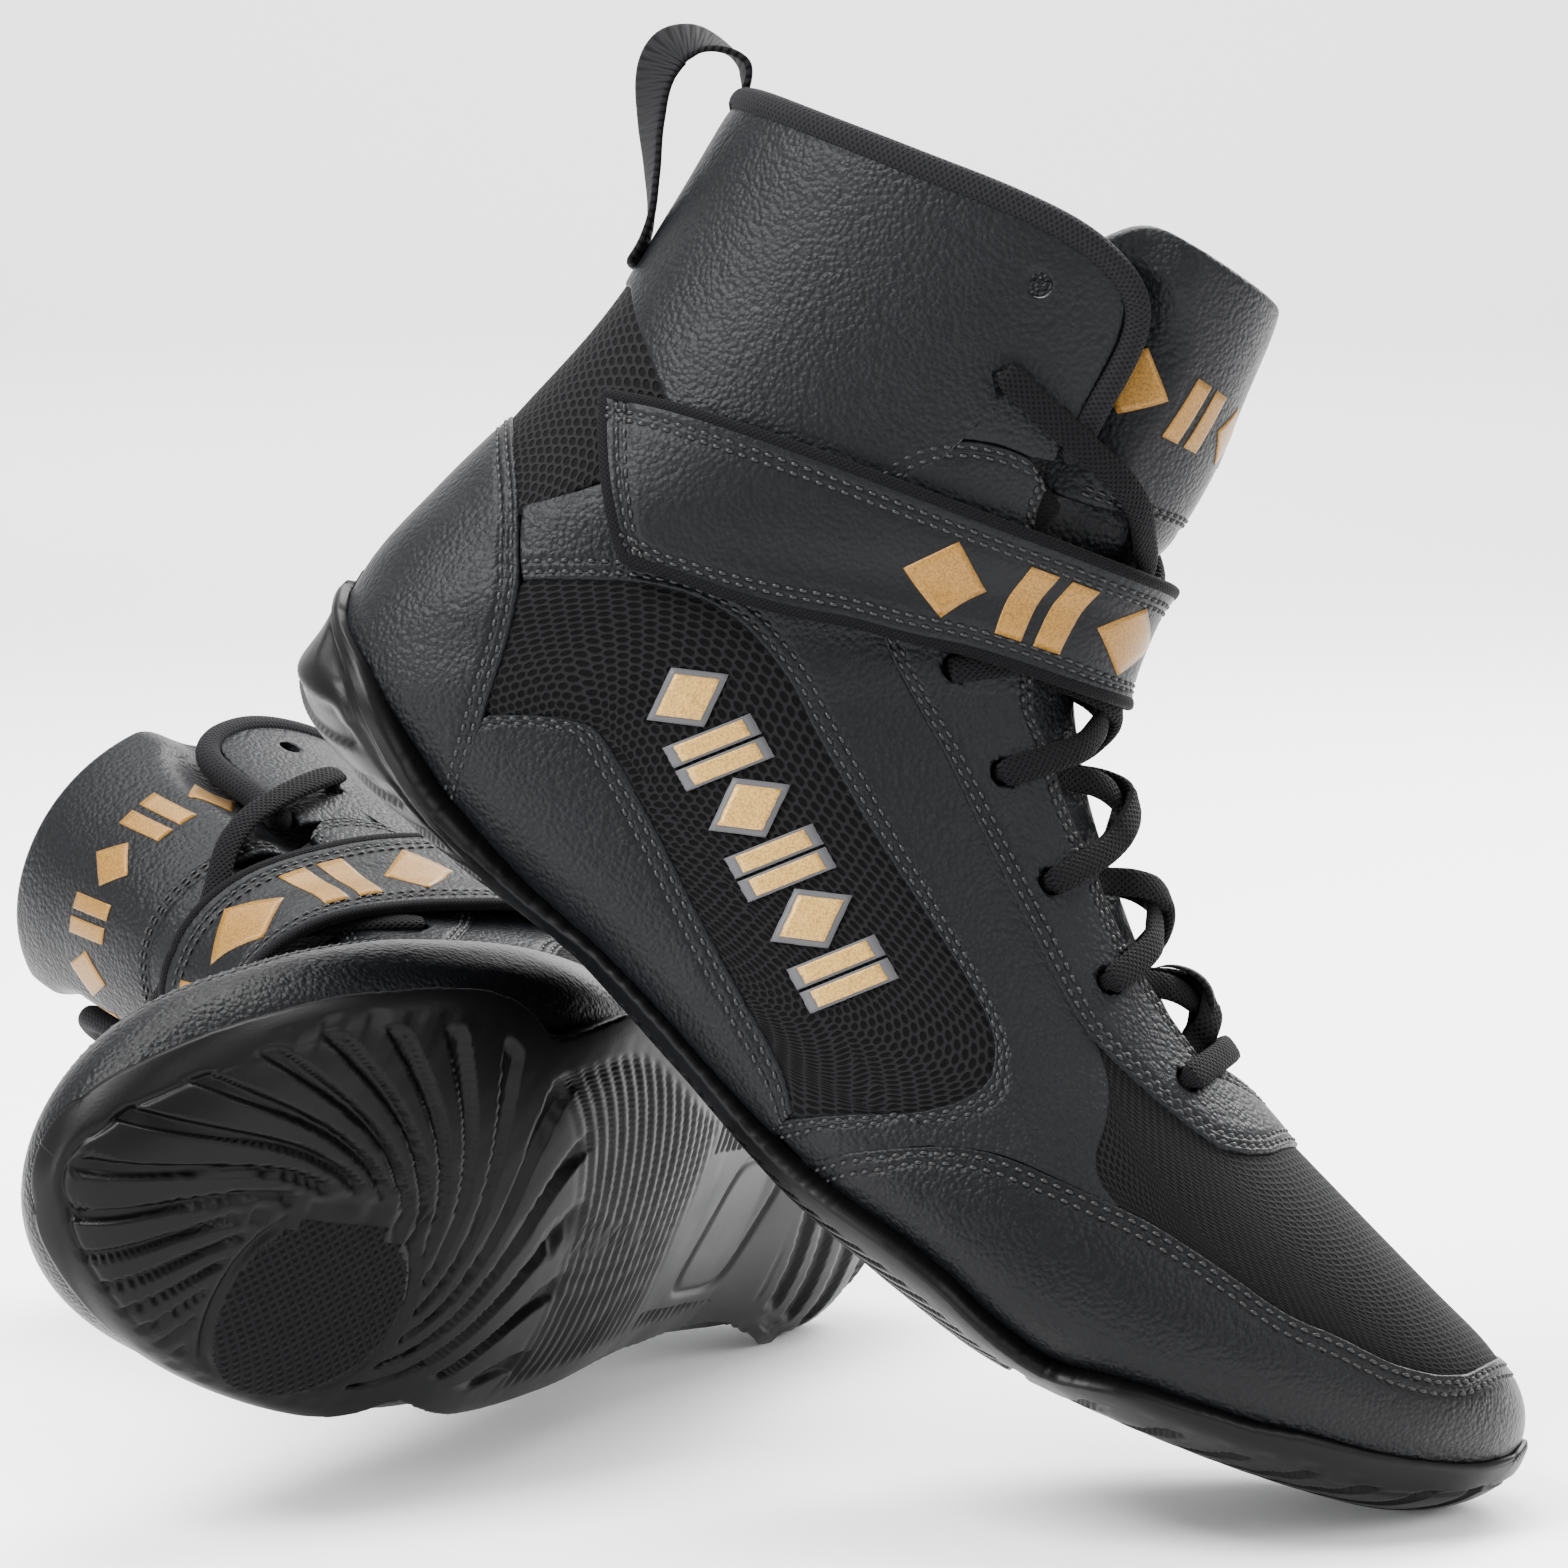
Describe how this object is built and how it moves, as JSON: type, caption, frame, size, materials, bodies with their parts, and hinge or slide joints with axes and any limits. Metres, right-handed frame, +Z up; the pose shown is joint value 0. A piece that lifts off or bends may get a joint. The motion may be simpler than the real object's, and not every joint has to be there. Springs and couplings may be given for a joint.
{
  "type": "boxing boots",
  "caption": "Pair of black high-top lace-up boxing boots with hook-and-loop ankle straps, mesh panels and thin rubber soles; one boot rests across the other.",
  "frame": {"origin": "centre of the bottom of the pair's bounding box, on the floor", "axes": "+X to the right and +Y away from the viewer who faces the right boot's outer side, +Z up"},
  "size_m": [0.3144, 0.3246, 0.2855],
  "materials": {
    "leather_black": "satin, fine pebble grain",
    "mesh_black": "matt air mesh",
    "rubber_black": "matt",
    "lining_textile": "matt",
    "webbing_black": "matt ribbed",
    "lace_black": "matt woven",
    "knit_grey": "matt knit",
    "hook_and_loop": "matt",
    "gold_print": "satin gold print"
  },
  "bodies": {
    "left_boot": {"left_outsole": "rubber_black", "left_forefoot_lining": "lining_textile", "left_shaft_lining": "lining_textile", "left_sock_liner": "lining_textile", "left_heel_counter": "leather_black", "left_achilles_mesh": "mesh_black", "left_quarter_lateral": "leather_black", "left_side_mesh_lateral": "mesh_black", "left_saddle_lateral": "leather_black", "left_cuff_lateral": "leather_black", "left_quarter_medial": "leather_black", "left_side_mesh_medial": "mesh_black", "left_saddle_medial": "leather_black", "left_cuff_medial": "leather_black", "left_facing": "leather_black", "left_vamp_mesh": "mesh_black", "left_toe_guard": "leather_black", "left_tongue": "leather_black", "left_tongue_lace_loop": "webbing_black", "left_lace": "lace_black", "left_collar_binding": "knit_grey", "left_pull_loop": "webbing_black", "left_strap_base": "leather_black", "left_loop_patch": "hook_and_loop", "left_side_emblem": "gold_print"},
    "left_strap": {"left_strap_tab": "leather_black", "left_hook_patch": "hook_and_loop"},
    "left_tongue_flap": {"left_tongue_top": "leather_black"},
    "right_boot": {"right_outsole": "rubber_black", "right_forefoot_lining": "lining_textile", "right_shaft_lining": "lining_textile", "right_sock_liner": "lining_textile", "right_heel_counter": "leather_black", "right_achilles_mesh": "mesh_black", "right_quarter_lateral": "leather_black", "right_side_mesh_lateral": "mesh_black", "right_saddle_lateral": "leather_black", "right_cuff_lateral": "leather_black", "right_quarter_medial": "leather_black", "right_side_mesh_medial": "mesh_black", "right_saddle_medial": "leather_black", "right_cuff_medial": "leather_black", "right_facing": "leather_black", "right_vamp_mesh": "mesh_black", "right_toe_guard": "leather_black", "right_tongue": "leather_black", "right_tongue_lace_loop": "webbing_black", "right_lace": "lace_black", "right_collar_binding": "knit_grey", "right_pull_loop": "webbing_black", "right_strap_base": "leather_black", "right_loop_patch": "hook_and_loop", "right_side_emblem": "gold_print"},
    "right_strap": {"right_strap_tab": "leather_black", "right_hook_patch": "hook_and_loop"},
    "right_tongue_flap": {"right_tongue_top": "leather_black"}
  },
  "joints": [
    {"name": "right_boot_lift", "type": "slide", "parent": "left_boot", "child": "right_boot", "axis": [0, 0, 1], "range_m": [0, 0.25]},
    {"name": "right_strap_peel", "type": "hinge", "parent": "right_boot", "child": "right_strap", "pos_m": [0.05575, -0.12357, 0.18026], "axis": [0.2515, -0.0592, 0.966], "range_deg": [0, 95]},
    {"name": "right_tongue_flex", "type": "hinge", "parent": "right_boot", "child": "right_tongue_flap", "pos_m": [0.08846, -0.09299, 0.1916], "axis": [0.026, 0.989, -0.1453], "range_deg": [0, 25]},
    {"name": "left_strap_peel", "type": "hinge", "parent": "left_boot", "child": "left_strap", "pos_m": [-0.07795, 0.03558, 0.10421], "axis": [0.4397, -0.7909, -0.4256], "range_deg": [0, 40]},
    {"name": "left_tongue_flex", "type": "hinge", "parent": "left_boot", "child": "left_tongue_flap", "pos_m": [-0.12225, 0.03962, 0.09175], "axis": [0.4058, -0.0229, 0.9137], "range_deg": [0, 25]}
  ]
}
